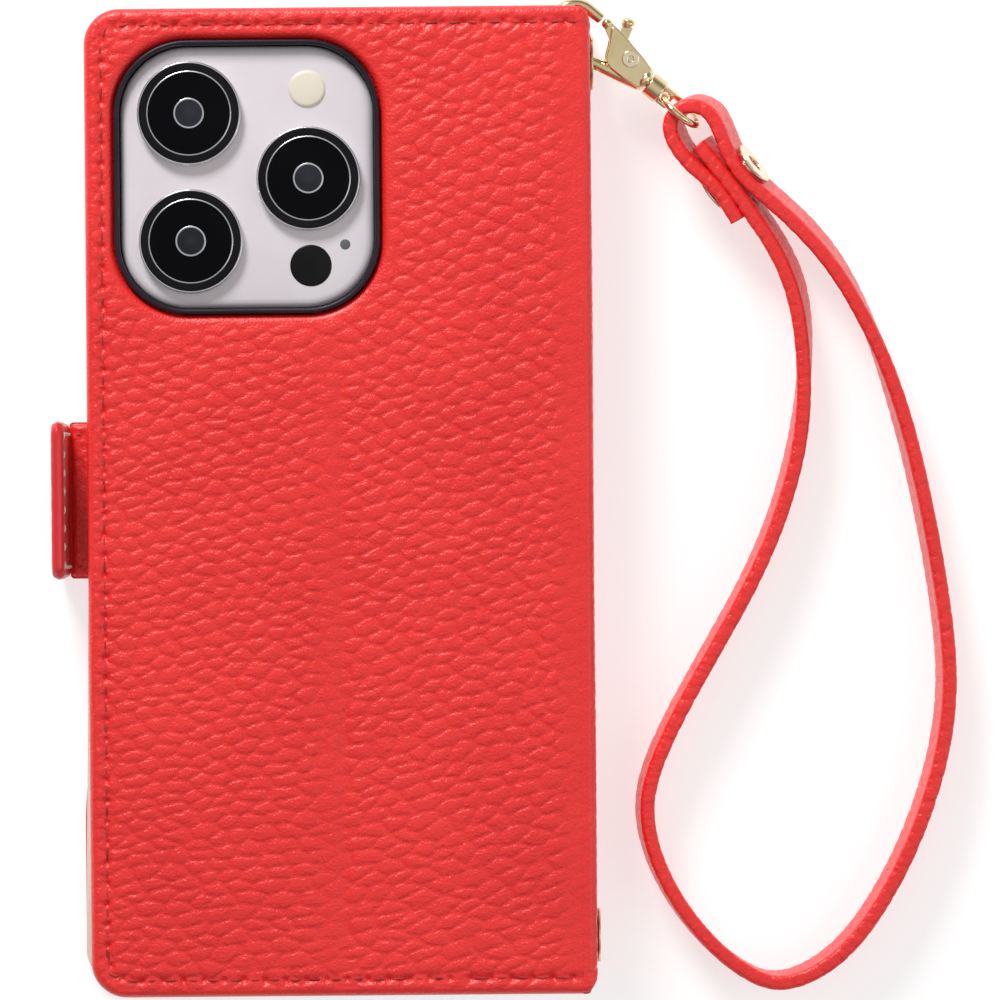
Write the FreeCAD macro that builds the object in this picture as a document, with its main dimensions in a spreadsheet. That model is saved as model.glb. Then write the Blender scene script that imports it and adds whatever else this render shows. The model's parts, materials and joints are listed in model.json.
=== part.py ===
"""Folio wallet case for a phone, with a lobster clasp and a wrist strap.

The case lies closed on its front cover. +Z points out of the back cover, +Y to the
camera end and +X to the spine. The origin is the middle of the front cover's outer face.
"""
import FreeCAD, Part
import math
import os
import re

from FreeCAD import Placement, Rotation, Vector

SIZES = {
    # outline of the closed case
    "case_width": 78.0,
    "case_length": 152.0,
    "corner_open": 5.5,
    "corner_spine": 2.0,
    # front cover, from its outer face inwards
    "skin": 1.0,
    "board": 1.2,
    "front_rim_top": 2.6,
    "hem": 1.1,
    "lining": 0.7,
    "pocket_sheet": 0.45,
    "card_pocket_width": 57.0,
    "card_pocket_length": 92.0,
    "pocket_step": 6.0,
    # phone tray
    "phone_width": 71.5,
    "phone_length": 147.5,
    "phone_depth": 7.95,
    "phone_corner": 12.5,
    "tray_wall": 1.5,
    "tray_back": 1.1,
    "tray_lip": 0.9,
    "tray_lip_reach": 1.0,
    "tray_bottom": 5.0,
    "tray_shift": -0.75,
    # back cover
    "adhesive": 0.2,
    "back_lining": 0.4,
    "back_board": 0.9,
    "back_top": 17.5,
    "window_x": -14.05,
    "window_y": 49.9,
    "window_width": 41.6,
    "window_length": 43.1,
    "window_corner": 11.5,
    "rim_wall": 1.3,
    "rim_top": 17.7,
    # spine
    "spine_length": 146.0,
    "spine_bottom": 1.3,
    "spine_top": 14.9,
    "fold_gap": 0.3,
    # eyelets
    "eyelet_y": 67.6,
    "eyelet_height": 7.5,
    "eyelet_hole": 2.5,
    "eyelet_tube": 2.8,
    "eyelet_flange": 4.2,
    "flange_sheet": 0.4,
    # closing tab
    "tab_width": 24.4,
    "tab_middle": 0.5,
    "tab_reach": 5.7,
    "tab_thickness": 2.4,
    "tab_low": 0.6,
    "tab_high": 16.2,
    # clasp, in its own plane: along its axis and across it
    "clasp_x": 45.1,
    "clasp_y": 68.3,
    "clasp_height": 7.1,
    "clasp_turn": -38.7,
    "clasp_slope": 7.3,
    "hook_wire": 1.0,
    "hook_middle": -8.2,
    "hook_offset": -1.2,
    "hook_half_width": 3.3,
    "hook_straight": 1.6,
    "swivel_offset": -1.05,
    "post_radius": 0.8,
    "eye_place": 7.9,
    # ring
    "ring_wire": 0.55,
    "ring_bend": 3.2,
    "ring_straight": 1.9,
    "ring_lean": 15.0,
    # strap
    "strap_low": 1.9,
    "strap_width": 7.7,
    "strap_thickness": 1.9,
    "rivet_radius": 3.2,
}

# Middle line of the strap in plan: the tail, round the ring, the long loop and back between the two.
STRAP_ROUTE = [
    (62.3, 43.5), (60.4, 47.0), (58.1, 49.7), (55.0, 52.3), (52.7, 55.3),
    (51.7, 58.4), (52.9, 60.7), (55.3, 61.6), (58.0, 60.6), (59.6, 57.8),
    (60.8, 54.2), (63.2, 50.3), (67.4, 46.6), (71.7, 42.7), (75.9, 37.9),
    (79.6, 32.0), (84.0, 22.5), (88.0, 9.4), (91.0, -4.7), (93.2, -18.8),
    (93.9, -29.7), (92.5, -40.2), (88.8, -51.6), (84.1, -61.2), (78.4, -69.4),
    (72.1, -74.2), (65.9, -75.7), (60.1, -72.6), (54.9, -67.7), (50.3, -61.3),
    (47.2, -54.2), (46.3, -47.7), (47.6, -41.8), (51.2, -34.0), (56.9, -24.0),
    (63.3, -12.9), (68.3, -1.4), (71.5, 11.3), (72.2, 24.0), (70.9, 32.9),
    (68.1, 39.1), (64.9, 43.9), (62.5, 47.4), (59.3, 51.6), (56.3, 55.4),
]

doc = FreeCAD.newDocument("wallet_case")
sheet = doc.addObject("Spreadsheet::Sheet", "Sizes")
for row, (word, number) in enumerate(SIZES.items(), start=1):
    sheet.set(f"A{row}", word)
    sheet.set(f"B{row}", str(number))
    sheet.setAlias(f"B{row}", word)
doc.recompute()

NODES = []
CLASP = Placement(
    Vector(sheet.clasp_x, sheet.clasp_y, sheet.clasp_height),
    Rotation(Vector(0, 0, 1), sheet.clasp_turn) * Rotation(Vector(0, 1, 0), sheet.clasp_slope),
)


def cell(words):
    """An expression with every size name pointed at the sheet."""
    return re.sub(r"[a-z_]+", lambda found: f"Sizes.{found.group()}", words)


def node(thing, name):
    thing.Label = name
    NODES.append(thing)
    return thing


def box(name, x, y, z):
    """A box between two expressions on each axis."""
    made = doc.addObject("Part::Box", name)
    for axis, size, (low, high) in zip("xyz", ("Length", "Width", "Height"), (x, y, z)):
        made.setExpression(size, cell(f"({high}) - ({low})"))
        made.setExpression(f"Placement.Base.{axis}", cell(low))
    return made


def cylinder(name, radius, length, place, turn=None):
    """A cylinder along +Z from place, or along +X or +Y with a turn."""
    made = doc.addObject("Part::Cylinder", name)
    made.setExpression("Radius", cell(radius))
    made.setExpression("Height", cell(length))
    made.Placement = Placement(Vector(), turn or Rotation())
    for axis, where in zip("xyz", place):
        made.setExpression(f"Placement.Base.{axis}", cell(where))
    return made


def cut(name, base, *tools):
    made = base
    for number, tool in enumerate(tools):
        step = doc.addObject("Part::Cut", f"{name}_cut{number}")
        step.Base = made
        step.Tool = tool
        made = step
    return made


def fuse(name, *pieces):
    made = doc.addObject("Part::MultiFuse", name)
    made.Shapes = list(pieces)
    return made


def rounded(name, base, left, right):
    """Rounds a box's four upright edges: left on the opening side, right on the spine side."""
    doc.recompute()
    middle = base.Shape.BoundBox.Center.x
    edges = []
    for number, edge in enumerate(base.Shape.Edges, start=1):
        along = edge.tangentAt(edge.FirstParameter)
        if abs(along.z) > 0.99:
            radius = left if edge.CenterOfMass.x < middle else right
            edges.append((number, radius, radius))
    made = doc.addObject("Part::Fillet", f"{name}_rounded")
    made.Base = base
    made.Edges = edges
    return made


def slab(name, inset, z, left, right):
    """A rounded plate of the case's outline, inset all round."""
    half_x = f"case_width / 2 - ({inset})"
    half_y = f"case_length / 2 - ({inset})"
    plate = box(name, (f"-({half_x})", half_x), (f"-({half_y})", half_y), z)
    return rounded(name, plate, left, right)


def window(name, grow, z):
    """The camera window as a solid, grown by an amount on every side."""
    half_x = f"(window_width / 2 + {grow})"
    half_y = f"(window_length / 2 + {grow})"
    plug = box(
        name,
        (f"window_x - {half_x}", f"window_x + {half_x}"),
        (f"window_y - {half_y}", f"window_y + {half_y}"),
        z,
    )
    corner = sheet.window_corner + grow
    return rounded(name, plug, corner, corner)


def feature(name, shape, place=None):
    made = doc.addObject("Part::Feature", name)
    made.Shape = shape
    if place:
        made.Placement = place
    return made


# ---------------------------------------------------------------- front cover
def front_cover():
    outer = slab("front_outer", "0", ("0", "front_rim_top"), sheet.corner_open, sheet.corner_spine)
    inner = slab("front_inner", "hem", ("skin", "front_rim_top + 1"), 4.4, 1.0)
    node(cut("front_leather", outer, inner), "front_leather")
    board = slab("front_core", "hem + 0.1", ("skin", "skin + board"), 4.3, 0.9)
    node(board, "front_board")
    lining = slab("front_cloth", "hem + 0.1", ("skin + board", "skin + board + lining"), 4.3, 0.9)
    node(lining, "front_lining")
    cash = box(
        "cash_sheet",
        ("-case_width / 2 + 3", "case_width / 2 - 8"),
        ("-case_length / 2 + 4", "case_length / 2 - 12"),
        ("skin + board + lining", "skin + board + lining + pocket_sheet"),
    )
    node(cash, "cash_pocket")
    for number in range(3):
        low = f"skin + board + lining + pocket_sheet * {number + 1}"
        card = box(
            f"card_sheet_{number + 1}",
            ("-case_width / 2 + 5", f"-case_width / 2 + 5 + card_pocket_width - {number} * pocket_step"),
            ("-card_pocket_length / 2 - 8", "card_pocket_length / 2 - 8"),
            (low, f"{low} + pocket_sheet"),
        )
        node(card, f"card_pocket_{number + 1}")


# ---------------------------------------------------------------- spine and eyelets
def spine():
    leather = box(
        "spine_skin",
        ("case_width / 2 - skin", "case_width / 2"),
        ("-spine_length / 2", "spine_length / 2"),
        ("front_rim_top + fold_gap", "spine_top"),
    )
    lining = box(
        "spine_cloth",
        ("case_width / 2 - skin - 0.3", "case_width / 2 - skin"),
        ("-spine_length / 2 + 1", "spine_length / 2 - 1"),
        ("front_rim_top + fold_gap + 0.5", "spine_top - 0.5"),
    )
    across = Rotation(Vector(0, 1, 0), 90)
    for piece, name in ((leather, "spine_leather"), (lining, "spine_lining")):
        holes = []
        for end, sign in (("upper", ""), ("lower", "-")):
            place = ("case_width / 2 - 3", f"{sign}eyelet_y", "eyelet_height")
            holes.append(cylinder(f"{name}_hole_{end}", "eyelet_tube", "6", place, across))
        node(cut(name, piece, *holes), name)
    for end, sign in (("upper", ""), ("lower", "-")):
        at = f"{sign}eyelet_y"
        flange = cylinder(
            f"flange_{end}", "eyelet_flange", "flange_sheet",
            ("case_width / 2", at, "eyelet_height"), across,
        )
        tube = cylinder(
            f"tube_{end}", "eyelet_tube", "skin + 0.3",
            ("case_width / 2 - skin - 0.3", at, "eyelet_height"), across,
        )
        bore = cylinder(
            f"bore_{end}", "eyelet_hole", "6",
            ("case_width / 2 - 3", at, "eyelet_height"), across,
        )
        ring = fuse(f"eyelet_{end}_solid", flange, tube)
        node(cut(f"eyelet_{end}", ring, bore), f"eyelet_{end}")
        disc = cylinder(
            f"washer_{end}_disc", "eyelet_flange - 0.4", "0.3",
            ("case_width / 2 - skin - 0.6", at, "eyelet_height"), across,
        )
        hole = cylinder(
            f"washer_{end}_hole", "eyelet_hole", "6",
            ("case_width / 2 - 3", at, "eyelet_height"), across,
        )
        node(cut(f"washer_{end}", disc, hole), f"eyelet_washer_{end}")


# ---------------------------------------------------------------- closing tab
def closing_tab():
    low = "tab_middle - tab_width / 2"
    high = "tab_middle + tab_width / 2"
    edge = "-case_width / 2"
    outer = f"{edge} - tab_reach"
    base = box(
        "tab_root", (f"{outer} + tab_thickness + 0.5", edge), (low, high),
        ("tab_low", "tab_low + tab_thickness - 0.6"),
    )
    node(base, "tab_base")
    flap = box(
        "tab_skin", (outer, f"{outer} + 1.5"), (low, high), ("tab_low", "tab_high"),
    )
    pocket = box(
        "tab_magnet_pocket", (f"{outer} + 0.6", f"{outer} + 2"),
        ("tab_middle - 8", "tab_middle + 8"), ("tab_high - 9", "tab_high - 2"),
    )
    node(cut("tab_leather", flap, pocket), "tab_leather")
    magnet = box(
        "tab_magnet_block", (f"{outer} + 0.6", f"{outer} + 1.5"),
        ("tab_middle - 7.9", "tab_middle + 7.9"), ("tab_high - 8.9", "tab_high - 2.1"),
    )
    node(magnet, "tab_magnet")
    cloth = box(
        "tab_cloth", (f"{outer} + 1.5", f"{outer} + tab_thickness"), (low, high),
        ("tab_low", "tab_high"),
    )
    node(cloth, "tab_lining")


# ---------------------------------------------------------------- phone tray and back cover
def phone_space(name, grow, z):
    half_x = f"(phone_width / 2 + {grow})"
    half_y = f"(phone_length / 2 + {grow})"
    solid = box(
        name, (f"tray_shift - {half_x}", f"tray_shift + {half_x}"),
        (f"-{half_y}", half_y), z,
    )
    corner = sheet.phone_corner + grow
    return rounded(name, solid, corner, corner)


def phone_tray():
    wall, reach = sheet.tray_wall, sheet.tray_lip_reach
    bay_low = "tray_bottom + tray_lip"
    bay_high = f"{bay_low} + phone_depth"
    shell = phone_space("tray_outside", wall, ("tray_bottom", f"{bay_high} + tray_back"))
    bay = phone_space("tray_bay", 0, (bay_low, bay_high))
    mouth = phone_space("tray_mouth", -reach, ("tray_bottom - 1", f"{bay_low} + 1"))
    hole = window("tray_window", 0.1, (f"{bay_high} - 1", "back_top + 2"))
    middle = ("tray_bottom + 2.6", "tray_bottom + 7.4")
    port = box("tray_port", ("-24", "22"), ("-case_length / 2 - 2", "-phone_length / 2 + 1"), middle)
    keys = box("tray_keys", ("case_width / 2 - 6", "case_width / 2 + 2"), ("22", "44"), middle)
    switch = box("tray_switch", ("-case_width / 2 - 2", "-case_width / 2 + 4"), ("18", "50"), middle)
    node(cut("phone_tray", shell, bay, mouth, hole, port, keys, switch), "phone_tray")


def back_cover():
    tray_top = "tray_bottom + tray_lip + phone_depth + tray_back"
    glue = phone_space("glue_sheet", -6, (tray_top, f"{tray_top} + adhesive"))
    node(cut("glue", glue, window("glue_window", 0.3, ("10", "20"))), "tray_adhesive")
    low = f"{tray_top} + adhesive"
    lining = slab("back_cloth", "hem + 0.1", (low, f"{low} + back_lining"), 4.3, 0.9)
    node(cut("back_lining", lining, window("lining_window", 0.3, ("10", "20"))), "back_lining")
    mid = f"{low} + back_lining"
    board = slab("back_core", "hem + 0.1", (mid, f"{mid} + back_board"), 4.3, 0.9)
    notch = box(
        "plate_notch", ("-case_width / 2", "-case_width / 2 + 6"),
        ("tab_middle - 9", "tab_middle + 9"), (f"{mid} - 1", f"{mid} + back_board + 1"),
    )
    node(cut("back_board", board, window("board_window", 0.3, ("10", "20")), notch), "back_board")
    plate = box(
        "keeper", ("-case_width / 2 + hem + 0.2", "-case_width / 2 + 5.8"),
        ("tab_middle - 8.8", "tab_middle + 8.8"), (mid, f"{mid} + back_board"),
    )
    node(plate, "closing_plate")
    outer = slab("back_outer", "0", (low, "back_top"), sheet.corner_open, sheet.corner_spine)
    inner = slab("back_inner", "hem", (f"{low} - 1", f"{mid} + back_board"), 4.4, 1.0)
    hole = window("leather_window", 0.1, ("10", "20"))
    node(cut("back_leather", outer, inner, hole), "back_leather")
    frame = window("rim_outside", 0, (f"{tray_top} - tray_back", "rim_top"))
    opening = window("rim_inside", -sheet.rim_wall, ("10", "20"))
    node(cut("camera_rim", frame, opening), "camera_rim")


# ---------------------------------------------------------------- clasp, ring and strap
def stadium_ring(bend, straight, wire):
    """A round wire bent into a ring of two half circles joined by straight sides along X."""
    pieces = []
    for side in (-1, 1):
        turn = Rotation(Vector(0, 0, 1), -90 if side > 0 else 90)
        half = Part.makeTorus(bend, wire, Vector(), Vector(0, 0, 1), -180, 180, 180)
        half.Placement = Placement(Vector(side * straight, 0, 0), turn)
        pieces.append(half)
        rod = Part.makeCylinder(
            wire, 2 * straight, Vector(-straight, side * bend, 0), Vector(1, 0, 0)
        )
        pieces.append(rod)
    return pieces[0].fuse(pieces[1:]).removeSplitter()


def block(u, v, w):
    """A box between two numbers on each axis of the clasp."""
    return Part.makeBox(u[1] - u[0], v[1] - v[0], w[1] - w[0], Vector(u[0], v[0], w[0]))


def rod(radius, start, end):
    start, end = Vector(*start), Vector(*end)
    return Part.makeCylinder(radius, (end - start).Length, start, end - start)


def clasp():
    wire = sheet.hook_wire
    side = sheet.hook_offset + sheet.hook_half_width
    across = sheet.swivel_offset
    loop = stadium_ring(sheet.hook_half_width, sheet.hook_straight, wire)
    loop.translate(Vector(sheet.hook_middle, sheet.hook_offset, 0))
    gate_gap = block((-7.2, -2.0), (side - 1.5, side + 1.5), (-2, 2))
    cheeks = block((-3.9, 3.9), (-3.1, 1.9), (-1.5, 1.5))
    collar = rod(1.9, (3.4, across, 0), (4.3, across, 0))
    arm = rod(wire, (-6.0, sheet.hook_offset - sheet.hook_half_width, 0), (-2.6, -3.0, 0))
    lever_slot = block((-5.4, 2.6), (-1.4, 2.5), (-0.6, 0.6))
    pin_hole = rod(0.9, (0, 0, -2), (0, 0, 2))
    bore = rod(sheet.post_radius, (2.9, across, 0), (4.5, across, 0))
    hook = loop.cut(gate_gap).fuse([cheeks, collar, arm]).cut(lever_slot).cut(pin_hole).cut(bore)
    node(feature("hook", hook.removeSplitter(), CLASP), "clasp_hook")

    finger = rod(0.85, (-6.7, side, 0), (-4.4, side, 0))
    bridge = block((-4.6, 1.2), (0.2, 1.7), (-0.5, 0.5))
    boss = rod(1.2, (0, 0, -0.5), (0, 0, 0.5))
    stem = block((-3.9, -2.7), (1.2, 3.2), (-0.5, 0.5))
    knob = rod(1.15, (-3.3, 3.9, -0.55), (-3.3, 3.9, 0.55))
    lever = finger.fuse([bridge, boss, stem, knob]).cut(rod(0.9, (0, 0, -2), (0, 0, 2)))
    node(feature("lever", lever.removeSplitter(), CLASP), "gate_lever")

    heads = [rod(1.35, (0, 0, side_z), (0, 0, side_z + 0.3)) for side_z in (1.5, -1.8)]
    pin = rod(0.85, (0, 0, -1.7), (0, 0, 1.7)).fuse(heads).cut(rod(0.45, (0, 0, -3), (0, 0, 3)))
    node(feature("pivot", pin.removeSplitter(), CLASP), "gate_pivot")
    leaf = block((0.2, 2.4), (-1.38, -1.23), (-0.45, 0.45))
    node(feature("leaf", leaf, CLASP), "gate_spring")

    post = rod(sheet.post_radius, (2.9, across, 0), (6.8, across, 0))
    head = rod(1.15, (6.35, across, 0), (6.8, across, 0))
    node(feature("post", post.fuse(head).removeSplitter(), CLASP), "swivel_post")


def lean():
    """Turns the ring's plane: the axis stays along X and the wire leans off the upright."""
    return Rotation(Vector(1, 0, 0), 90 + sheet.ring_lean)


def swivel():
    across, place = sheet.swivel_offset, sheet.eye_place
    drum = rod(1.9, (4.6, across, 0), (7.1, across, 0))
    drum = drum.cut(rod(sheet.post_radius + 0.06, (4.5, across, 0), (6.0, across, 0)))
    drum = drum.cut(rod(1.25, (6.2, across, 0), (6.95, across, 0)))
    drum = drum.cut(rod(sheet.post_radius + 0.06, (4.5, across, 0), (6.3, across, 0)))
    tongue = block((7.0, place + 1.2), (-0.9, 0.9), (-1.5, 1.5))
    tongue = tongue.cut(rod(0.85, (place, -3, 0), (place, 3, 0)))
    tongue.Placement = Placement(Vector(0, across, 0), lean())
    eye = drum.fuse(tongue).removeSplitter()
    node(feature("eye", eye, CLASP), "swivel_eye")


def d_ring():
    ring = stadium_ring(sheet.ring_bend, sheet.ring_straight, sheet.ring_wire)
    ring.Placement = Placement(Vector(), Rotation(Vector(0, 0, 1), 90))
    middle = Vector(sheet.eye_place + sheet.ring_bend, sheet.swivel_offset, 0)
    turned = feature("ring", ring, CLASP * Placement(middle, lean()) * ring.Placement)
    node(turned, "d_ring")


def strap_path():
    """Straight runs joined by tangent arcs as large as the runs allow, as (start, middle, end) rows."""
    points = [Vector(x, y, 0) for x, y in STRAP_ROUTE]
    rows, here = [], points[0]
    radii = []
    for before, corner, after in zip(points, points[1:], points[2:]):
        into, out = corner - before, after - corner
        turn = into.getAngle(out)
        reach = 0.45 * min(into.Length, out.Length)
        radius = reach / math.tan(turn / 2)
        radii.append(radius)
        into.normalize()
        out.normalize()
        start, end = corner - into * reach, corner + out * reach
        side = (out - into).normalize()
        heart = corner + side * (radius / math.cos(turn / 2))
        middle = heart - side * radius
        rows.append((here, None, start))
        rows.append((start, middle, end))
        here = end
    rows.append((here, None, points[-1]))
    print("strap bend radii, mm:", " ".join(f"{r:.1f}" for r in radii))
    return rows


def strap():
    half = sheet.strap_thickness / 2
    edges, solids = [], []
    for start, middle, end in strap_path():
        edge = Part.makeLine(start, end) if middle is None else Part.Arc(start, middle, end).toShape()
        along = edge.tangentAt(edge.FirstParameter)
        across = Vector(-along.y, along.x, 0)
        side = Part.makeLine(start - across * half, start + across * half)
        if middle is None:
            face = side.extrude(end - start)
        else:
            circle = edge.Curve
            sweep = math.degrees(edge.Length / circle.Radius)
            left = (circle.Center - start).dot(across) > 0
            face = side.revolve(circle.Center, Vector(0, 0, 1 if left else -1), sweep)
        solids.append(face.extrude(Vector(0, 0, sheet.strap_width)))
        edges.append(edge)
    length = sum(edge.Length for edge in edges)
    band = solids[0].fuse(solids[1:]).removeSplitter()
    expected = length * sheet.strap_thickness * sheet.strap_width
    print(f"strap length {length:.1f} mm, volume {band.Volume:.1f}, section x length {expected:.1f}")
    place = Placement(Vector(0, 0, sheet.strap_low), Rotation())
    node(feature("strap", band, place), "wrist_strap")


def strap_rivet():
    """A hollow rivet through the strap's three layers, its heads outside them."""
    across = Vector(0.79, 0.61, 0)
    middle = Vector(61.3, 49.6, sheet.strap_low + sheet.strap_width / 2)
    reach = 3.9
    start = middle - across * reach
    tube = Part.makeCylinder(1.9, 2 * reach, start, across)
    heads = [
        Part.makeCylinder(sheet.rivet_radius, 0.5, start, across),
        Part.makeCylinder(sheet.rivet_radius, 0.5, middle + across * (reach - 0.5), across),
    ]
    bore = Part.makeCylinder(1.3, 2 * reach + 2, start - across, across)
    solid = tube.fuse(heads).cut(bore)
    node(feature("rivet", solid.removeSplitter()), "strap_rivet")


def check_and_write():
    doc.recompute()
    for thing in doc.Objects:
        if "Invalid" in thing.State or "Error" in thing.State:
            raise RuntimeError(f"{thing.Name} failed: {thing.State}")
    os.makedirs("parts", exist_ok=True)
    for thing in NODES:
        shape = thing.Shape
        if shape.isNull() or not shape.isValid() or not shape.Solids:
            raise RuntimeError(f"{thing.Label} has no valid solid")
        shape.exportStep(os.path.join("parts", f"{thing.Label}.step"))
        low, high = shape.BoundBox, shape.Volume
        print(
            f"{thing.Label:22s} {len(shape.Solids)} solid {high:9.1f} mm3 "
            f"x {low.XMin:7.2f} {low.XMax:7.2f} y {low.YMin:7.2f} {low.YMax:7.2f} "
            f"z {low.ZMin:6.2f} {low.ZMax:6.2f}"
        )


front_cover()
spine()
closing_tab()
phone_tray()
back_cover()
clasp()
swivel()
d_ring()
strap()
strap_rivet()
check_and_write()
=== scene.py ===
"""Looks of the phone wallet case: pebbled leather, stitching, gold hardware and the wrist strap.

Lengths in this file are millimetres in the CAD's frame; mesh_object turns them into metres.
"""

import json
import math

import bmesh
import bpy
import numpy as np
from mathutils import Matrix, Vector

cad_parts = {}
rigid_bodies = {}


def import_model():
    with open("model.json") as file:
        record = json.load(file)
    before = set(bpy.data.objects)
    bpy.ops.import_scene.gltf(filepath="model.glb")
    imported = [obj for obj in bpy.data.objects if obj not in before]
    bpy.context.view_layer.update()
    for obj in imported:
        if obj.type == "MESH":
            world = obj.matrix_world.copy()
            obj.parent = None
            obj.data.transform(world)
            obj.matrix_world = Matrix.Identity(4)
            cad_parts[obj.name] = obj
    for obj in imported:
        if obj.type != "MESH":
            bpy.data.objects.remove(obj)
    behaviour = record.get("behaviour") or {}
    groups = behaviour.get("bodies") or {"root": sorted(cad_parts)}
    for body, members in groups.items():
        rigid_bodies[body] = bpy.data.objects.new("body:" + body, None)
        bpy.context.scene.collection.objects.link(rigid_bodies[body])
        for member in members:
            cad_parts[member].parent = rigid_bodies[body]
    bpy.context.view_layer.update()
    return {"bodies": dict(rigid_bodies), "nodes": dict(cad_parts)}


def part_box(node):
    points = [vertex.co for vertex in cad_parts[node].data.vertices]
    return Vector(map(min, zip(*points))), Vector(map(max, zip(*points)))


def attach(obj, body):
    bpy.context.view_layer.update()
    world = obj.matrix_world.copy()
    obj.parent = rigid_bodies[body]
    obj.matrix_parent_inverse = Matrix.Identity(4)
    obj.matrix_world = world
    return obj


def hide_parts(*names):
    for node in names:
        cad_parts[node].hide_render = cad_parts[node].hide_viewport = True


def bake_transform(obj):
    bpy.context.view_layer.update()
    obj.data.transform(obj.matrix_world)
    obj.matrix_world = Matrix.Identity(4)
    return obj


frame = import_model()

MM = 0.001
RED = (0.84, 0.017, 0.015, 1.0)
CREAM = (0.80, 0.72, 0.60, 1.0)


def extent(*nodes):
    """The lowest and highest corners of some CAD nodes together, in millimetres."""
    boxes = [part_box(name) for name in nodes]
    low = [min(box[0][axis] for box in boxes) / MM for axis in range(3)]
    high = [max(box[1][axis] for box in boxes) / MM for axis in range(3)]
    return low, high


BACK_LOW, BACK_HIGH = extent("back_leather")
FRONT_LOW, FRONT_HIGH = extent("front_leather")
SPINE_HIGH = extent("spine_leather")[1]
RIM_LOW, RIM_HIGH = extent("camera_rim")
TAB_LOW, TAB_HIGH = extent("tab_leather", "tab_lining")
BASE_LOW, BASE_HIGH = extent("tab_base")
TRAY_LOW, TRAY_HIGH = extent("phone_tray")

TOP = BACK_HIGH[2]
SPINE_X = BACK_HIGH[0]
WRAP = 1.6          # radius of the leather where it turns onto the spine
STITCH_INSET = 2.6  # perimeter seam, from the edge
STITCH_PITCH = 3.15


# ---------------------------------------------------------------- meshes
def mesh_object(name, points, faces, material, smooth=True):
    mesh = bpy.data.meshes.new(name)
    mesh.from_pydata((np.asarray(points, float) * MM).tolist(), [], faces)
    mesh.validate()
    mesh.update()
    if smooth:
        mesh.polygons.foreach_set("use_smooth", [True] * len(mesh.polygons))
    made = bpy.data.objects.new(name, mesh)
    bpy.context.scene.collection.objects.link(made)
    mesh.materials.append(material)
    return made


def band(first, second, count):
    """Quads between two rings of points, which start at first and second."""
    pairs = [(n, (n + 1) % count) for n in range(count)]
    return [[first + n, first + m, second + m, second + n] for n, m in pairs]


def rounded_ring(low, high, radius, steps=14):
    """Corners of a rounded rectangle, going round once."""
    spots = []
    for x, y, begin in (
        (high[0] - radius, high[1] - radius, 0), (low[0] + radius, high[1] - radius, 90),
        (low[0] + radius, low[1] + radius, 180), (high[0] - radius, low[1] + radius, 270),
    ):
        for k in range(steps + 1):
            angle = math.radians(begin + 90 * k / steps)
            spots.append((x + radius * math.cos(angle), y + radius * math.sin(angle)))
    return spots


def outward(made):
    """Makes every face of a closed mesh face out."""
    work = bmesh.new()
    work.from_mesh(made.data)
    bmesh.ops.recalc_face_normals(work, faces=work.faces)
    work.to_mesh(made.data)
    work.free()
    return made


def round_box_distance(x, y, low, high, left, right):
    """Signed distance to a rectangle with its own corner radius on each side."""
    cx, cy = (low[0] + high[0]) / 2, (low[1] + high[1]) / 2
    radius = np.where(x < cx, left, right)
    qx = np.abs(x - cx) - (high[0] - low[0]) / 2 + radius
    qy = np.abs(y - cy) - (high[1] - low[1]) / 2 + radius
    outside = np.hypot(np.maximum(qx, 0), np.maximum(qy, 0))
    return outside + np.minimum(np.maximum(qx, qy), 0) - radius


def hashed(i, j, salt):
    """A repeatable number from 0 to 1 for each cell of a lattice."""
    value = np.sin(i * 127.1 + j * 311.7 + salt * 74.7) * 43758.5453
    return value - np.floor(value)


def cells(a, b, long, short, salt):
    """Distance gap between the two nearest points of a jittered lattice: 0 on a crease."""
    i0, j0 = np.floor(a / long), np.floor(b / short)
    near = np.full(a.shape, 9.0)
    second = np.full(a.shape, 9.0)
    for di in (-1, 0, 1):
        for dj in (-1, 0, 1):
            i, j = i0 + di, j0 + dj
            px = (i + 0.5 + 0.5 * (j % 2) - 0.25 + 0.62 * (hashed(i, j, salt) - 0.5)) * long
            py = (j + 0.5 + 0.66 * (hashed(i, j, salt + 5) - 0.5)) * short
            away = np.hypot((a - px) / long, (b - py) / short)
            second = np.minimum(second, np.maximum(near, away))
            near = np.minimum(near, away)
    return second - near, near


def waves(x, y, size, salt):
    """A slow smooth field, about -1 to 1."""
    return (
        np.sin(x / size + 1.7 * np.sin(y / size * 0.8 + salt) + salt)
        * np.cos(y / size * 1.1 + 1.3 * np.sin(x / size * 0.9 - salt))
    )


def pebble(x, y):
    """Height of the leather's pebbles, 0 in a crease to about 1 on a crown."""
    tilt = 0.30 + 0.0016 * y + 0.0012 * x + 0.05 * waves(x, y, 31.0, 2.0)
    wx = x + 0.5 * waves(x, y, 6.1, 0.4) + 0.20 * waves(x, y, 0.62, 5.0)
    wy = y + 0.4 * waves(x, y, 5.2, 3.1) + 0.13 * waves(x, y, 0.55, 2.2)
    a = wx * np.cos(tilt) + wy * np.sin(tilt)
    b = -wx * np.sin(tilt) + wy * np.cos(tilt)
    gap, near = cells(a, b, 3.6, 2.05, 1.0)
    crown = 1 - np.exp(-gap * 6.0)
    fine, _ = cells(a + 3, b, 0.95, 0.75, 9.0)
    folds = 1 - np.exp(-fine * 6.0)
    return 0.84 * crown * (1.12 - 0.50 * near) + 0.16 * folds


def slope(distance, x, y, tiny=1e-3):
    """Which way the distance from an outline grows at (x, y)."""
    across = (distance(x + tiny, y) - distance(x - tiny, y)) / (2 * tiny)
    along = (distance(x, y + tiny) - distance(x, y - tiny)) / (2 * tiny)
    return across, along


def pulled_in(distance, x, y, rounds):
    """Moves the points that are outside an outline onto it."""
    for _ in range(rounds):
        gx, gy = slope(distance, x, y)
        push = np.maximum(distance(x, y), 0)
        x, y = x - push * gx, y - push * gy
    return x, y


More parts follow.
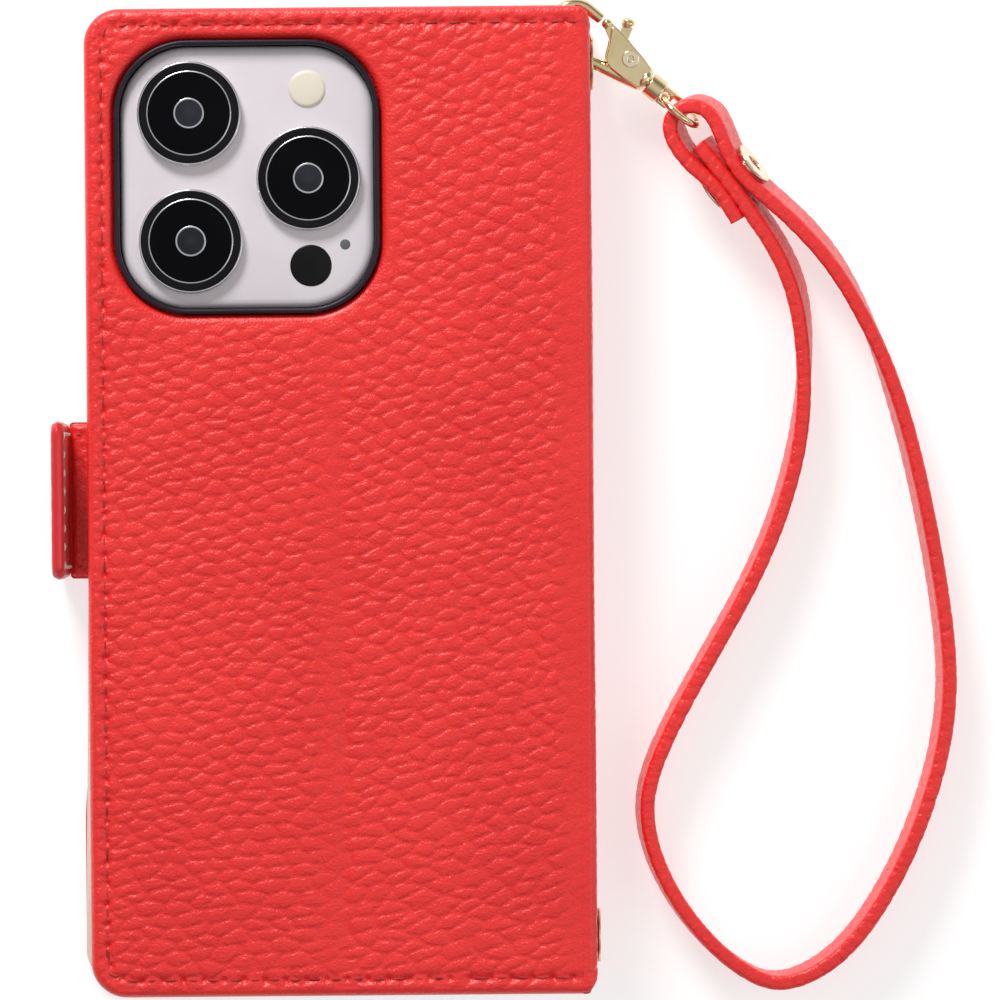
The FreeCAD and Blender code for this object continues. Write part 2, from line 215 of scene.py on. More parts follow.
def panel(name, low, high, corners, step, height, wall_low, material, hole=None, hem=2.5):
    """A leather panel: a fine grid trimmed to its outline, its edge wall and a turned-in hem.

    height(x, y, inside) gives the surface over the plane; wall_low is the z of the hem.
    hole is a second outline (low, high, radius) that is cut out.
    """
    xs = np.linspace(low[0], high[0], int((high[0] - low[0]) / step) + 1)
    ys = np.linspace(low[1], high[1], int((high[1] - low[1]) / step) + 1)
    x, y = np.meshgrid(xs, ys, indexing="ij")

    def distance(px, py):
        away = round_box_distance(px, py, low, high, *corners)
        if hole:
            cut = round_box_distance(px, py, hole[0], hole[1], hole[2], hole[2])
            away = np.maximum(away, -cut)
        return away

    inside = distance(x, y) < -1e-6
    quad = inside[:-1, :-1] | inside[1:, :-1] | inside[:-1, 1:] | inside[1:, 1:]
    x, y = pulled_in(distance, x, y, 3)
    z = height(x, y, np.maximum(-distance(x, y), 0))
    count = xs.size * ys.size
    index = np.arange(count).reshape(x.shape)
    i, j = np.nonzero(quad)
    faces = np.stack([index[i, j], index[i + 1, j], index[i + 1, j + 1], index[i, j + 1]], 1)
    used = np.unique(faces)
    renumber = np.zeros(count, int)
    renumber[used] = np.arange(used.size)
    points = np.stack([x.ravel(), y.ravel(), z.ravel()], 1)[used]
    faces = renumber[faces]

    edges = {}
    for face in faces.tolist():
        for start, end in zip(face, face[1:] + face[:1]):
            if edges.pop((end, start), None) is None:
                edges[(start, end)] = True
    rim = np.unique(np.array(list(edges)).ravel())
    place = {vertex: row for row, vertex in enumerate(rim.tolist())}
    px, py = points[rim, 0], points[rim, 1]
    gx, gy = slope(distance, px, py)
    sunk = np.sign(wall_low - points[rim, 2].mean())
    turn = 0.5
    rings = [
        (0.0, wall_low - sunk * turn),
        (turn * 0.3, wall_low - sunk * turn * 0.3),
        (turn, wall_low),
        (hem, wall_low),
    ]
    everything, walls, before = [points], faces.tolist(), rim
    total = len(points)
    for inward, level in rings:
        ring = np.stack([px - gx * inward, py - gy * inward, np.full(px.shape, level)], 1)
        everything.append(ring)
        after = np.arange(total, total + len(ring))
        total += len(ring)
        for start, end in edges:
            s, e = place[start], place[end]
            walls.append([int(before[e]), int(before[s]), int(after[s]), int(after[e])])
        before = after
    return mesh_object(name, np.concatenate(everything), walls, material)


def swept(name, path, section, side, material, shift):
    """A section of (across, up) pairs swept along a path. side(k) gives the two directions there.

    shift(k, n) is how far out of the section a point is moved.
    """
    points, faces = [], []
    count = len(section)
    for k, place in enumerate(path):
        across, up = side(k)
        for n, (s, t) in enumerate(section):
            grow = shift(k, n) / (math.hypot(s, t) or 1.0)
            points.append(tuple(place + across * (s + grow * s) + up * (t + grow * t)))
    for k in range(len(path) - 1):
        faces += band(k * count, (k + 1) * count, count)
    faces.append(list(range(count))[::-1])
    faces.append([(len(path) - 1) * count + n for n in range(count)])
    return outward(mesh_object(name, points, faces, material))


def slab(name, low, high, radius, material, edge=0.12):
    """A thin sheet with rounded corners and softened edges."""
    outline = rounded_ring(low, high, radius, steps=8)
    middle = ((low[0] + high[0]) / 2, (low[1] + high[1]) / 2)
    points, faces = [], []
    for inset, z in ((edge, low[2]), (0, low[2] + edge), (0, high[2] - edge), (edge, high[2])):
        for x, y in outline:
            dx, dy = middle[0] - x, middle[1] - y
            size = math.hypot(dx, dy)
            points.append((x + dx / size * inset, y + dy / size * inset, z))
    count = len(outline)
    for ring in range(3):
        faces += band(ring * count, (ring + 1) * count, count)
    faces.append(list(range(count))[::-1])
    faces.append([3 * count + n for n in range(count)])
    return mesh_object(name, points, faces, material, smooth=False)


def stitches(name, spots, material, length=2.3, radius=0.27):
    """Thread stitches: one rounded bead of thread for each (place, direction, normal)."""
    points, faces = [], []
    rings, around = 7, 6
    for place, along, normal in spots:
        across = along.cross(normal).normalized()
        base = len(points)
        for k in range(rings):
            share = -1 + 2 * k / (rings - 1)
            thick = radius * math.sqrt(max(1 - share ** 2, 0.03))
            dip = -0.25 * share ** 2
            for n in range(around):
                angle = 2 * math.pi * n / around
                spot = (
                    place + along * (share * length / 2) + normal * dip
                    + across * (thick * math.cos(angle)) + normal * (thick * math.sin(angle))
                )
                points.append(tuple(spot))
        for k in range(rings - 1):
            faces += band(base + k * around, base + (k + 1) * around, around)
        faces.append([base + n for n in range(around)][::-1])
        faces.append([base + (rings - 1) * around + n for n in range(around)])
    return mesh_object(name, points, faces, material)


# ---------------------------------------------------------------- materials
def material(name, color, roughness, metallic=0.0):
    made = bpy.data.materials.new(name)
    made.use_nodes = True
    shader = made.node_tree.nodes["Principled BSDF"]
    shader.inputs["Base Color"].default_value = color
    shader.inputs["Roughness"].default_value = roughness
    shader.inputs["Metallic"].default_value = metallic
    return made, made.node_tree, shader


def add(tree, kind, **values):
    made = tree.nodes.new(kind)
    for key, value in values.items():
        if key in made.inputs:
            made.inputs[key].default_value = value
        else:
            setattr(made, key, value)
    return made


def noise_color(tree, shader, first, second, scale, detail=4.0, low=0.35, high=0.65):
    """Mixes two colours over the surface by a noise."""
    where = tree.nodes.new("ShaderNodeTexCoord")
    noise = add(tree, "ShaderNodeTexNoise", Scale=scale, Detail=detail)
    ramp = tree.nodes.new("ShaderNodeValToRGB")
    ramp.color_ramp.elements[0].position = low
    ramp.color_ramp.elements[1].position = high
    ramp.color_ramp.elements[0].color = first
    ramp.color_ramp.elements[1].color = second
    tree.links.new(where.outputs["Object"], noise.inputs["Vector"])
    tree.links.new(noise.outputs["Fac"], ramp.inputs["Fac"])
    tree.links.new(ramp.outputs["Color"], shader.inputs["Base Color"])
    return where


def bump(tree, shader, where, texture, output, strength, distance):
    node = add(tree, "ShaderNodeBump", Strength=strength, Distance=distance)
    tree.links.new(where.outputs["Object"], texture.inputs["Vector"])
    tree.links.new(texture.outputs[output], node.inputs["Height"])
    old = shader.inputs["Normal"].links
    if old:
        tree.links.new(old[0].from_socket, node.inputs["Normal"])
    tree.links.new(node.outputs["Normal"], shader.inputs["Normal"])


def leather(name, color, second, roughness=0.38, pores=0.00016):
    made, tree, shader = material(name, color, roughness)
    shader.inputs["Specular IOR Level"].default_value = 0.5
    shader.inputs["Coat Weight"].default_value = 0.22
    shader.inputs["Coat Roughness"].default_value = 0.28
    where = noise_color(tree, shader, color, second, 55.0)
    fine = add(tree, "ShaderNodeTexVoronoi", Scale=1700.0, feature="DISTANCE_TO_EDGE")
    bump(tree, shader, where, fine, "Distance", 0.55, pores)
    grain = add(tree, "ShaderNodeTexNoise", Scale=2300.0, Detail=3.0)
    bump(tree, shader, where, grain, "Fac", 0.70, pores)
    return made


def cloth(name, color, second, sheen=0.3):
    made, tree, shader = material(name, color, 0.85)
    shader.inputs["Sheen Weight"].default_value = sheen
    where = noise_color(tree, shader, color, second, 300.0)
    weave = add(tree, "ShaderNodeTexWave", Scale=900.0, Distortion=0.6)
    bump(tree, shader, where, weave, "Fac", 0.3, 0.00008)
    return made


def metal(name, color, second, roughness):
    made, tree, shader = material(name, color, roughness, metallic=1.0)
    where = noise_color(tree, shader, color, second, 160.0)
    marks = add(tree, "ShaderNodeTexNoise", Scale=700.0, Detail=6.0)
    bump(tree, shader, where, marks, "Fac", 0.06, 0.00008)
    return made


def plastic(name, color, second, roughness, scale=1800.0, specular=0.5):
    made, tree, shader = material(name, color, roughness)
    shader.inputs["Specular IOR Level"].default_value = specular
    where = noise_color(tree, shader, color, second, 90.0)
    grain = add(tree, "ShaderNodeTexNoise", Scale=scale, Detail=2.0)
    bump(tree, shader, where, grain, "Fac", 0.12, 0.00005)
    return made


RED_SKIN = leather("red_pebbled", RED, (0.91, 0.024, 0.020, 1.0))
RED_EDGE = leather("red_smooth_edge", (0.78, 0.020, 0.024, 1.0), (0.70, 0.015, 0.02, 1.0), 0.34, 0.00005)
THREAD = cloth("red_thread", (0.32, 0.010, 0.010, 1.0), (0.60, 0.05, 0.04, 1.0), sheen=0.0)
LINING = leather("cream_lining", CREAM, (0.85, 0.78, 0.67, 1.0), 0.55, 0.00006)
POCKET = leather("cream_pocket", (0.76, 0.67, 0.54, 1.0), (0.80, 0.72, 0.60, 1.0), 0.55, 0.00006)
GOLD_METAL = metal("gold", (0.74, 0.58, 0.30, 1.0), (0.86, 0.72, 0.44, 1.0), 0.17)
GOLD_PALE = metal("pale_gold", (0.93, 0.84, 0.66, 1.0), (0.86, 0.74, 0.52, 1.0), 0.24)
STEEL = metal("steel", (0.55, 0.55, 0.57, 1.0), (0.66, 0.66, 0.68, 1.0), 0.30)
RIM = plastic("rim_dark", (0.012, 0.008, 0.014, 1.0), (0.022, 0.015, 0.026, 1.0), 0.34, specular=0.25)
TRAY = plastic("tray_clear_grey", (0.62, 0.62, 0.63, 1.0), (0.70, 0.70, 0.71, 1.0), 0.42)
BOARD = plastic("board", (0.36, 0.30, 0.24, 1.0), (0.46, 0.40, 0.32, 1.0), 0.9)
GLUE = plastic("adhesive", (0.78, 0.76, 0.68, 1.0), (0.84, 0.82, 0.76, 1.0), 0.6)


# ---------------------------------------------------------------- camera and light
def camera_and_light():
    scene = bpy.context.scene
    scene.view_settings.view_transform = "Standard"
    distance, view_width, sensor = 0.90, 0.1535, 36.0
    data = bpy.data.cameras.new("camera")
    data.sensor_width = sensor
    data.lens = sensor * distance / view_width
    data.clip_end = 20
    camera = bpy.data.objects.new("camera", data)
    camera.location = (24.4 * MM, 0.0, TOP * MM + distance)
    camera.rotation_euler = (0, 0, math.radians(-0.5))
    scene.collection.objects.link(camera)
    scene.camera = camera

    world = bpy.data.worlds.new("world")
    scene.world = world
    world.use_nodes = True
    background = world.node_tree.nodes["Background"]
    background.inputs["Strength"].default_value = 0.74
    where = world.node_tree.nodes.new("ShaderNodeTexCoord")
    split = world.node_tree.nodes.new("ShaderNodeSeparateXYZ")
    ramp = world.node_tree.nodes.new("ShaderNodeValToRGB")
    for stop, shade in ((0.0, 1.0), (0.55, 1.0), (0.80, 0.55), (1.0, 0.22)):
        if stop in (0.0, 1.0):
            element = ramp.color_ramp.elements[int(stop)]
        else:
            element = ramp.color_ramp.elements.new(stop)
        element.color = (shade, shade, shade, 1)
    world.node_tree.links.new(where.outputs["Generated"], split.inputs["Vector"])
    world.node_tree.links.new(split.outputs["Z"], ramp.inputs["Fac"])
    world.node_tree.links.new(ramp.outputs["Color"], background.inputs["Color"])
    for name, place, size, power in (
        ("key", (-0.25, 0.70, 0.46), 0.26, 6.3),
        ("fill", (0.65, -0.10, 0.55), 0.50, 1.0),
    ):
        light = bpy.data.lights.new(name, "AREA")
        light.size = size
        light.energy = power
        lamp = bpy.data.objects.new(name, light)
        lamp.location = place
        lamp.rotation_euler = (-Vector(place)).to_track_quat("-Z", "Y").to_euler()
        scene.collection.objects.link(lamp)

    floor, tree, shader = material("floor_paper", (0.5, 0.5, 0.5, 1.0), 0.9)
    shader.inputs["Specular IOR Level"].default_value = 0.1
    noise_color(tree, shader, (0.50, 0.50, 0.50, 1.0), (0.52, 0.52, 0.52, 1.0), 8.0)
    shader.inputs["Emission Color"].default_value = (1, 1, 1, 1)
    shader.inputs["Emission Strength"].default_value = 0.62
    edge = 1500.0
    ground = mesh_object(
        "floor", [(-edge, -edge, -0.05), (edge, -edge, -0.05), (edge, edge, -0.05), (-edge, edge, -0.05)],
        [[0, 1, 2, 3]], floor,
    )


# ---------------------------------------------------------------- wrist strap
# The strap's middle line in plan, as in the CAD, in millimetres.
STRAP_ROUTE = [
    (62.3, 43.5), (60.4, 47.0), (58.1, 49.7), (55.0, 52.3), (52.7, 55.3),
    (51.7, 58.4), (52.9, 60.7), (55.3, 61.6), (58.0, 60.6), (59.6, 57.8),
    (60.8, 54.2), (63.2, 50.3), (67.4, 46.6), (71.7, 42.7), (75.9, 37.9),
    (79.6, 32.0), (84.0, 22.5), (88.0, 9.4), (91.0, -4.7), (93.2, -18.8),
    (93.9, -29.7), (92.5, -40.2), (88.8, -51.6), (84.1, -61.2), (78.4, -69.4),
    (72.1, -74.2), (65.9, -75.7), (60.1, -72.6), (54.9, -67.7), (50.3, -61.3),
    (47.2, -54.2), (46.3, -47.7), (47.6, -41.8), (51.2, -34.0), (56.9, -24.0),
    (63.3, -12.9), (68.3, -1.4), (71.5, 11.3), (72.2, 24.0), (70.9, 32.9),
    (68.1, 39.1), (64.9, 43.9), (62.5, 47.4), (59.3, 51.6), (56.3, 55.4),
]
STRAP_LOW, STRAP_HIGH = extent("wrist_strap")
STRAP_WIDTH = STRAP_HIGH[2] - STRAP_LOW[2]
STRAP_THICK = 2.3
STRAP_MIDDLE = (STRAP_HIGH[2] + STRAP_LOW[2]) / 2
RING_LEAN = Vector((-0.24, -0.18, 0))   # how far the strap's top leans over per height, at the ring
LOOP_LEAN = Vector((0.10, -0.05, 0))    # and round the loop
RING_SLOPE = 0.3                        # the length of RING_LEAN
REST_MIDDLE = STRAP_WIDTH / 2 + 0.05


def strap_line():
    """Points of the strap's NURBS line, raised at the ring and on the floor away from it."""
    curve = bpy.data.curves.new("strap_line", "CURVE")
    curve.dimensions = "3D"
    curve.resolution_u = 12
    spline = curve.splines.new("NURBS")
    spline.points.add(len(STRAP_ROUTE) - 1)
    raised = Vector((55.0, 58.0))
    for point, (x, y) in zip(spline.points, STRAP_ROUTE):
        far = min(max(((Vector((x, y)) - raised).length - 8) / 34, 0), 1)
        fall = far * far * (3 - 2 * far)
        height = STRAP_MIDDLE + (REST_MIDDLE - STRAP_MIDDLE) * fall
        point.co = (x * MM, y * MM, height * MM, 1)
    spline.order_u = 3
    spline.use_endpoint_u = True
    holder = bpy.data.objects.new("strap_line", curve)
    line = bpy.data.meshes.new_from_object(holder)
    points = [vertex.co.copy() for vertex in line.vertices]
    bpy.data.objects.remove(holder)
    return points


def smooth_step(share):
    share = min(max(share, 0), 1)
    return share * share * (3 - 2 * share)


def strap_section(rounding=0.75):
    """The strap's cut: tall and thin with rounded folded edges, as (across, up) pairs."""
    half, tall = STRAP_THICK / 2, STRAP_WIDTH / 2
    section = []
    for sx, sy, begin in ((1, 1, 0), (-1, 1, 90), (-1, -1, 180), (1, -1, 270)):
        for k in range(5):
            angle = math.radians(begin + 90 * k / 4)
            section.append((
                sx * (half - rounding) + rounding * math.cos(angle),
                sy * (tall - rounding) + rounding * math.sin(angle),
            ))
    sides = []
    for first, second in zip(section, section[1:] + section[:1]):
        sides.append(first)
        gap = math.dist(first, second)
        parts = max(int(gap / 0.6), 1)
        for k in range(1, parts):
            share = k / parts
            sides.append((
                first[0] + (second[0] - first[0]) * share,
                first[1] + (second[1] - first[1]) * share,
            ))
    return sides


def resample(points, step):
    """The same line as evenly spaced points."""
    places = np.array([tuple(p) for p in points])
    lengths = np.concatenate([[0], np.cumsum(np.linalg.norm(np.diff(places, axis=0), axis=1))])
    count = int(lengths[-1] / step) + 1
    wanted = np.linspace(0, lengths[-1], count)
    return np.stack([np.interp(wanted, lengths, places[:, axis]) for axis in range(3)], 1), wanted


def wrist_strap():
    line = strap_line()
    places, along = resample([p / MM for p in line], 0.30)
    tangents = np.gradient(places, axis=0)
    total = along[-1]

    def side(k):
        ahead = Vector(tangents[k]).normalized()
        across = Vector((-ahead.y, ahead.x, 0)).normalized()
        # at the ring the strap's top leans to the clasp, round the loop a little to the far side
        share = along[k] / total
        loop = smooth_step((share - 0.14) / 0.12) * smooth_step((0.93 - share) / 0.10)
        lean = RING_LEAN * (1 - loop) + LOOP_LEAN * loop
        return across, Vector((lean.x, lean.y, 1)).normalized()

    section = strap_section()
    count = len(section)
    reach = np.cumsum([0] + [math.dist(a, b) for a, b in zip(section, section[1:])])
    s, t = np.meshgrid(along, reach, indexing="ij")
    gap, near = cells(s * 0.94 + t * 0.3 + 0.5 * waves(s, t, 4.0, 1.0), t, 2.4, 1.7, 3.0)
    grain = (1 - np.exp(-gap * 7)) * 0.20 - 0.17
    # short creases across the folded edges, where the strap's turns have wrinkled it
    marks = np.arange(1.5, total, 2.3)
    marks = marks + 1.6 * (hashed(np.arange(marks.size), 3.0, 2.0) - 0.5)
    high = np.abs(np.array([point[1] for point in section])) > STRAP_WIDTH / 2 - 0.9
    for mark, depth in zip(marks, 0.03 + 0.12 * hashed(np.arange(marks.size), 8.0, 4.0)):
        skew = np.array([point[0] for point in section])[None, :] * 0.35
        grain -= depth * np.exp(-((along[:, None] - mark + skew) / 0.22) ** 2) * high[None, :]

    def shift(k, n):
        return float(grain[k, n])

    path = [Vector(p) for p in places]
    made = swept("wrist_strap_skin", path, section, side, RED_SKIN, shift)
    return made, [tuple(p * MM) for p in places]


# ---------------------------------------------------------------- leather covers
def crowned_edge(inside, radius):
    """How far the surface drops towards an edge that is rounded over."""
    near = np.clip(radius - inside, 0, radius)
    return radius - np.sqrt(np.maximum(radius ** 2 - near ** 2, 0))


def seam_path(low, high, corner, inset, gap_side):
    """Even spots along the seam round three sides of a cover, from the spine and back to it."""
    radius = corner - inset
    x0, x1 = low[0] + inset, gap_side
    y0, y1 = low[1] + inset, high[1] - inset

    def arc(cy, begin):
        turns = [math.radians(begin + 90 * k / 12) for k in range(1, 12)]
        return [
            Vector((x0 + radius + radius * math.cos(turn), cy + radius * math.sin(turn), 0))
            for turn in turns
        ]

    pieces = [
        Vector((x1, y1, 0)), Vector((x0 + radius, y1, 0)), *arc(y1 - radius, 90),
        Vector((x0, y1 - radius, 0)), Vector((x0, y0 + radius, 0)), *arc(y0 + radius, 180),
        Vector((x0 + radius, y0, 0)), Vector((x1, y0, 0)),
    ]
    return resample(pieces, STITCH_PITCH)[0]


CORNER = 5.5
BACK_SEAM = seam_path(BACK_LOW, BACK_HIGH, CORNER, STITCH_INSET, SPINE_X - 2.4)
RIM_INSET = 0.40    # the leather turns in over the outer part of the rim's foot
RIM_WALL = 0.80
WINDOW = (
    (RIM_LOW[0] + RIM_INSET, RIM_LOW[1] + RIM_INSET + 0.2),
    (RIM_HIGH[0] - RIM_INSET, RIM_HIGH[1] - RIM_INSET),
    11.3,
)
GRAIN_DEPTH = 0.34
EDGE_ROLL = 1.15
SPINE_GRAIN = 0.26  # share of the grain's depth that is left where the leather turns


def seam_dips(x, y, seam):
    """The groove that the seam pulls into the leather, deepest at each needle hole."""
    low, high = BACK_LOW, BACK_HIGH
    radius = CORNER - STITCH_INSET
    away = np.abs(round_box_distance(
        x, y, (low[0] + STITCH_INSET, low[1] + STITCH_INSET), (high[0] + 30, high[1] - STITCH_INSET),
        radius, radius,
    ))
    groove = 0.20 * np.exp(-(away / 0.75) ** 2)
    holes = (seam[:-1] + seam[1:]) / 2
    band = away < 1.2
    deep = np.zeros_like(x)
    bx, by = x[band], y[band]
    best = np.full(bx.shape, 9.0)
    for hole in holes:
        best = np.minimum(best, (bx - hole[0]) ** 2 + (by - hole[1]) ** 2)
    deep[band] = 0.55 * np.exp(-best / 0.16)
    return groove + deep, away


def back_surface(x, y, inside):
    """The outer face of the back cover: pebbles, rounded edge, window bevel, seam and stand crease."""
    hole = round_box_distance(x, y, *WINDOW, WINDOW[2])
    outer = round_box_distance(
        x, y, BACK_LOW, (BACK_HIGH[0] + 30, BACK_HIGH[1]), CORNER, CORNER)
    flatten = np.clip((hole - 1.1) / 1.6, 0, 1) * np.clip((-outer - 0.5) / 1.2, 0, 1)
    spine_band = np.clip((SPINE_X - 3.2 - x) / 3.0, SPINE_GRAIN, 1)
    dips, _ = seam_dips(x, y, BACK_SEAM)
    below = np.clip((WINDOW[0][1] - 3 - y) / 4, 0, 1) * np.clip((y - BACK_LOW[1] - 3) / 2, 0, 1)
    crease = below * (0.20 * np.exp(-((x - 0.2) / 0.9) ** 2) + 0.16 * np.exp(-((x + 3.4) / 0.9) ** 2))
    flatten = flatten * (1 - 0.5 * below * np.exp(-((x + 1.6) / 2.2) ** 4))
    z = TOP - GRAIN_DEPTH + GRAIN_DEPTH * pebble(x, y) * flatten * spine_band
    z += 0.10 * (1 - flatten)
    z -= crowned_edge(np.maximum(-outer, 0), EDGE_ROLL)
    z -= 1.2 * crowned_edge(np.maximum(hole, 0), 1.5)
    swell = 0.12 * np.exp(-((-outer - 1.4) / 0.7) ** 2)
    return z - dips - crease + swell * 0.5 + 0.05 * waves(x, y, 17.0, 1.3)


def back_cover():
    low = (BACK_LOW[0], BACK_LOW[1])
    high = (SPINE_X - WRAP, BACK_HIGH[1])
    made = panel(
        "back_cover_skin", low, high, (CORNER, 0.05), 0.27, back_surface, BACK_LOW[2] - 0.02,
        RED_SKIN, hole=WINDOW, hem=1.0,
    )
    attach(made, "back")
    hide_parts("back_leather")
    spots = []
    up = Vector((0, 0, 1))
    for first, second in zip(BACK_SEAM, BACK_SEAM[1:]):
        start, end = Vector(first), Vector(second)
        ahead = (end - start).normalized()
        place = start
        spots.append((Vector((place.x, place.y, TOP - 0.36)), ahead, up))
    thread = stitches("back_cover_stitching", spots, THREAD, length=2.5, radius=0.24)
    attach(thread, "back")


def window_rim():
    """The dark rim round the cameras: a thin wall with a rounded top."""
    low, high, radius = WINDOW
    foot, top, half = RIM_LOW[2], RIM_HIGH[2] - 0.1, RIM_WALL / 2
    profile = [(0.0, foot), (0.0, top - half)]
    for turn in np.linspace(0.3, 2.84, 7):
        profile.append((half - half * math.cos(turn), top - half + half * math.sin(turn)))
    profile += [(2 * half, top - half), (2 * half, foot)]
    points, faces = [], []
    for inset, z in profile:
        inner = rounded_ring(
            (low[0] + inset, low[1] + inset), (high[0] - inset, high[1] - inset), radius - inset)
        points += [(x, y, z) for x, y in inner]
    count = len(points) // len(profile)
    for ring in range(len(profile)):
        faces += band(ring * count, ((ring + 1) % len(profile)) * count, count)
    rim = outward(mesh_object("camera_rim_ring", points, faces, RIM))
    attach(rim, "back")
    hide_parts("camera_rim")


def front_surface(x, y, inside):
    z = FRONT_LOW[2] + 0.16 - 0.15 * pebble(x + 91.0, y)
    return z + crowned_edge(inside, 1.0)


FRONT_LEFT = FRONT_LOW[0] - 0.7


def front_cover():
    low = (FRONT_LEFT, FRONT_LOW[1] + 1.7)
    high = (SPINE_X - WRAP, FRONT_HIGH[1] - 1.0)
    made = panel(
        "front_cover_skin", low, high, (4.5, 0.9), 0.5, front_surface, FRONT_HIGH[2],
        RED_SKIN, hem=2.2,
    )
    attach(made, "front")
    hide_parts("front_leather")
    lining_low, lining_high = extent("front_lining")
    sheet = slab(
        "front_lining_sheet", (FRONT_LEFT + 0.9, low[1] + 0.9, lining_low[2]),
        (high[0] - 0.6, high[1] - 0.9, lining_high[2]), 3.6, LINING,
    )
    for piece, reach in ((made, 1.0), (sheet, 1.9)):
        for vertex in piece.data.vertices:
            x, y = vertex.co.x / MM, vertex.co.y / MM
            if x < -30:
                vertex.co.x -= reach * MM * smooth_step((-34 - y) / 16) * smooth_step((-30 - x) / 6)
    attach(sheet, "front")
    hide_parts("front_lining")
    inset = 1.6
    for name, radius in (
        ("cash_pocket", 3.0), ("card_pocket_1", 2.0), ("card_pocket_2", 2.0), ("card_pocket_3", 2.0),
    ):
        pocket_low, pocket_high = extent(name)
        piece = slab(f"{name}_sheet", pocket_low, pocket_high, radius, POCKET)
        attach(piece, "front")
        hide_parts(name)
        spots = []
        left, right = pocket_low[0] + inset, pocket_high[0] - inset
        lower, upper = pocket_low[1] + inset, pocket_high[1] - inset
        edges = [
            (Vector((left, lower, 0)), Vector((left, upper, 0))),
            (Vector((left, lower, 0)), Vector((right, lower, 0))),
            (Vector((left, upper, 0)), Vector((right, upper, 0))),
        ]
        for start, end in edges:
            ahead = (end - start).normalized()
            for k in range(1, int((end - start).length / STITCH_PITCH)):
                place = start + ahead * (k * STITCH_PITCH)
                place.z = pocket_high[2] + 0.02
                spots.append((place, ahead, Vector((0, 0, 1))))
        sewn = stitches(f"{name}_stitching", spots, THREAD, radius=0.16)
        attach(sewn, "front")


def smooth_rows(reach):
    """Fades the fold line in from the cover's face."""
    return np.clip((reach - 0.4) / 0.8, 0, 1)[:, None]


def spine_cover():
    """The leather that turns from the back cover over the spine to the front cover."""
    outer, lap = WRAP, 0.8
    section = [(SPINE_X - outer - lap + step, TOP) for step in (0, 0.2, 0.4, 0.6)]
    for k in range(9):
        angle = math.radians(90 - 90 * k / 8)
        section.append((SPINE_X - outer + outer * math.cos(angle), TOP - outer + outer * math.sin(angle)))
    low_z = FRONT_LOW[2]
    steps = 34
    for k in range(1, steps):
        section.append((SPINE_X, TOP - outer - (TOP - low_z - 2 * outer) * k / steps))
    for k in range(9):
        angle = math.radians(-90 * k / 8)
        section.append((SPINE_X - outer + outer * math.cos(angle), low_z + outer + outer * math.sin(angle)))
    shape = np.array(section)
    reach = np.concatenate([[0], np.cumsum(np.hypot(*np.diff(shape, axis=0).T))])
    tangent = np.gradient(shape, axis=0)
    normal = np.stack([-tangent[:, 1], tangent[:, 0]], 1)
    normal /= np.linalg.norm(normal, axis=1)[:, None]
    normal *= np.sign(normal[len(shape) // 2, 0])
    ys = np.linspace(BACK_LOW[1], BACK_HIGH[1], 381)
    s, y = np.meshgrid(reach + SPINE_X - outer - lap, ys, indexing="ij")
    end = BACK_HIGH[1] - np.abs(y)
    edge = crowned_edge(np.maximum(end, 0), EDGE_ROLL)
    near_top = np.clip((5.0 - reach) / 3.0, 0, 1)[:, None]
    height = -GRAIN_DEPTH + GRAIN_DEPTH * pebble(s, y) * (SPINE_GRAIN + 0.4 * (1 - near_top))
    height += 0.03 + 0.05 * waves(s, y, 17.0, 1.3)
    height -= 0.30 * np.exp(-((np.abs(y) - SPINE_HIGH[1]) / 0.28) ** 2) * smooth_rows(reach)
    corner = 2.0
    into = np.clip(shape[:, 0] - (SPINE_X - corner), 0, corner)
    limit = BACK_HIGH[1] - corner + np.sqrt(corner ** 2 - into ** 2)
    far = BACK_HIGH[1] - 6.0
    squeezed = far + (np.abs(y) - far) * (limit[:, None] - far) / 6.0
    y = np.where(np.abs(y) > far, np.sign(y) * squeezed, y)
    for eyelet in ("eyelet_upper", "eyelet_lower"):
        box = extent(eyelet)
        ey, ez = (box[0][1] + box[1][1]) / 2, (box[0][2] + box[1][2]) / 2
        es = np.interp(ez, shape[::-1, 1], (reach + SPINE_X - outer - lap)[::-1])
        away = np.hypot(s - es, y - ey)
        height -= 0.25 * np.exp(-(np.maximum(away - 3.4, 0) / 1.2) ** 2)
    height -= edge
    outside = np.stack([
        shape[:, 0][:, None] + normal[:, 0][:, None] * height,
        y, shape[:, 1][:, None] + normal[:, 1][:, None] * height,
    ], 2)
    inner = np.stack([
        np.repeat((shape[:, 0] - normal[:, 0] * 0.9)[:, None], len(ys), 1), y,
        np.repeat((shape[:, 1] - normal[:, 1] * 0.9)[:, None], len(ys), 1),
    ], 2)
    rows, columns = outside.shape[:2]
    points = np.concatenate([outside.reshape(-1, 3), inner.reshape(-1, 3)])
    faces = []
    base = rows * columns
    holes = []
    for eyelet in ("eyelet_upper", "eyelet_lower"):
        box = extent(eyelet)
        holes.append(((box[0][1] + box[1][1]) / 2, (box[0][2] + box[1][2]) / 2))

    def open_here(i, j):
        return any(
            math.hypot(ys[j] + 0.2 - ey, (shape[i, 1] + shape[i + 1, 1]) / 2 - ez) < 3.0 for ey, ez in holes
        )

    for i in range(rows - 1):
        for j in range(columns - 1):
            if open_here(i, j):
                continue
            a, b = i * columns + j, (i + 1) * columns + j
            faces.append([a, b, b + 1, a + 1])
            faces.append([base + a + 1, base + b + 1, base + b, base + a])
    for i in range(rows - 1):
        for j, flip in ((0, 1), (columns - 1, 0)):
            a, b = i * columns + j, (i + 1) * columns + j
            quad = [a, base + a, base + b, b]
            faces.append(quad[::-1] if flip else quad)
    made = mesh_object("spine_cover_skin", points, faces, RED_SKIN)
    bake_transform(made)
    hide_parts("spine_leather")


